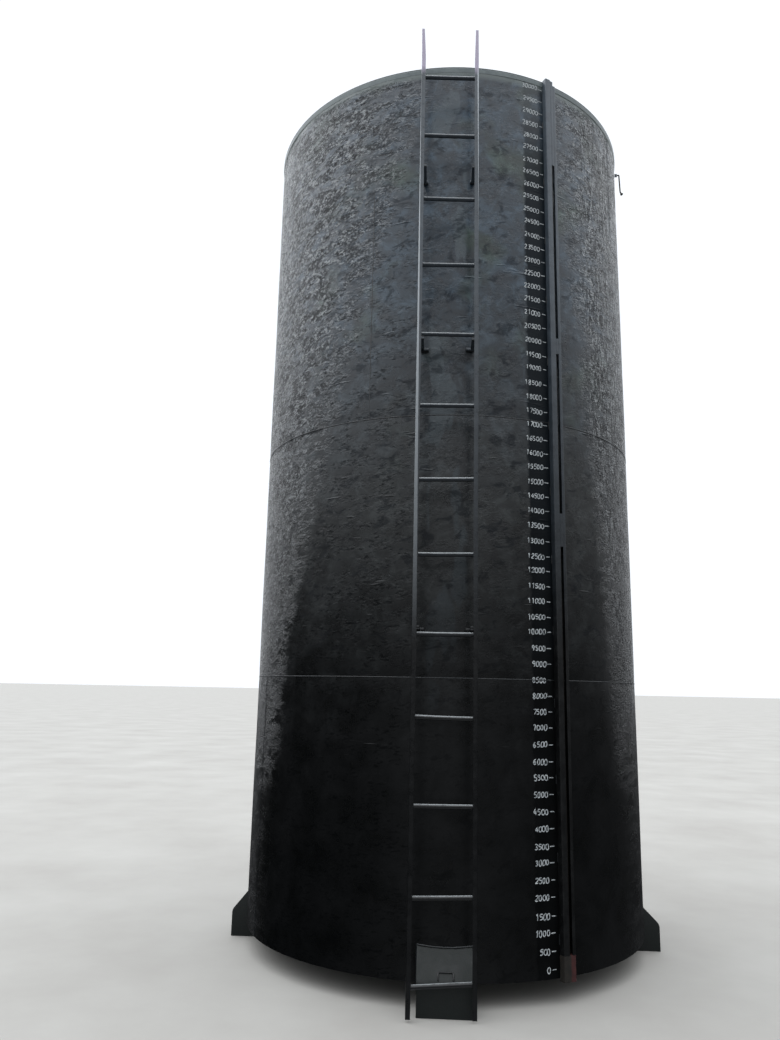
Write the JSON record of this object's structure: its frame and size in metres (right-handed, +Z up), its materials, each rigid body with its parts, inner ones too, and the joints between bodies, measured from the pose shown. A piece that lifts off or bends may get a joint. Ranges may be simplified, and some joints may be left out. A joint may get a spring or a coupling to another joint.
{
  "type": "vertical storage tank",
  "caption": "Black-painted welded steel fuel storage tank of 30,000 litres, upright on folded plate legs, with a climbing ladder and a slotted gauge guard.",
  "frame": {"origin": "on the tank's axis at ground level, in the plane that the legs stand on", "axes": "+Z up, -Y towards the climbing ladder, +X to the right of someone who faces the ladder"},
  "size_m": [2.85, 2.956, 6.0346],
  "materials": {
    "tank_paint": "semi-gloss black paint brushed over rough, dimpled plate",
    "ladder_paint": "semi-gloss black paint on rolled angle and round bar",
    "guard_paint": "semi-gloss black paint on thin angle",
    "red_primer": "dull red-brown primer, dusty",
    "tube_plastic": "dirty dark tube",
    "rusty_steel": "weathered bare bar",
    "scale_white": "off-white enamel laid on with a brush, worn thin"
  },
  "bodies": {
    "root": {"bottom_plate": "tank_paint", "front_leg_staple": "tank_paint", "gauge_guard_foot": "red_primer", "gauge_guard_left_angle": "guard_paint", "gauge_guard_lower_bridge": "guard_paint", "gauge_guard_right_angle": "guard_paint", "gauge_guard_top_cover": "guard_paint", "gauge_guard_upper_bridge": "guard_paint", "ladder_rail_left": "ladder_paint", "ladder_rail_right": "ladder_paint", "ladder_rung_01": "ladder_paint", "ladder_rung_02": "ladder_paint", "ladder_rung_03": "ladder_paint", "ladder_rung_04": "ladder_paint", "ladder_rung_05": "ladder_paint", "ladder_rung_06": "ladder_paint", "ladder_rung_07": "ladder_paint", "ladder_rung_08": "ladder_paint", "ladder_rung_09": "ladder_paint", "ladder_rung_10": "ladder_paint", "ladder_rung_11": "ladder_paint", "ladder_rung_12": "ladder_paint", "ladder_rung_13": "ladder_paint", "ladder_standoff_lower_left": "ladder_paint", "ladder_standoff_lower_right": "ladder_paint", "ladder_standoff_middle_left": "ladder_paint", "ladder_standoff_middle_right": "ladder_paint", "ladder_standoff_upper_left": "ladder_paint", "ladder_standoff_upper_right": "ladder_paint", "leg_back": "tank_paint", "leg_front": "tank_paint", "leg_left": "tank_paint", "leg_right": "tank_paint", "manhole_lid": "tank_paint", "manhole_lid_handle": "tank_paint", "manhole_neck": "tank_paint", "rim_band": "tank_paint", "roof_cone": "tank_paint", "shell_course_1": "tank_paint", "shell_course_2": "tank_paint", "shell_course_3": "tank_paint", "shell_course_4": "tank_paint", "side_lug": "tank_paint", "side_rod": "rusty_steel", "sight_tube": "tube_plastic"}
  },
  "joints": []
}
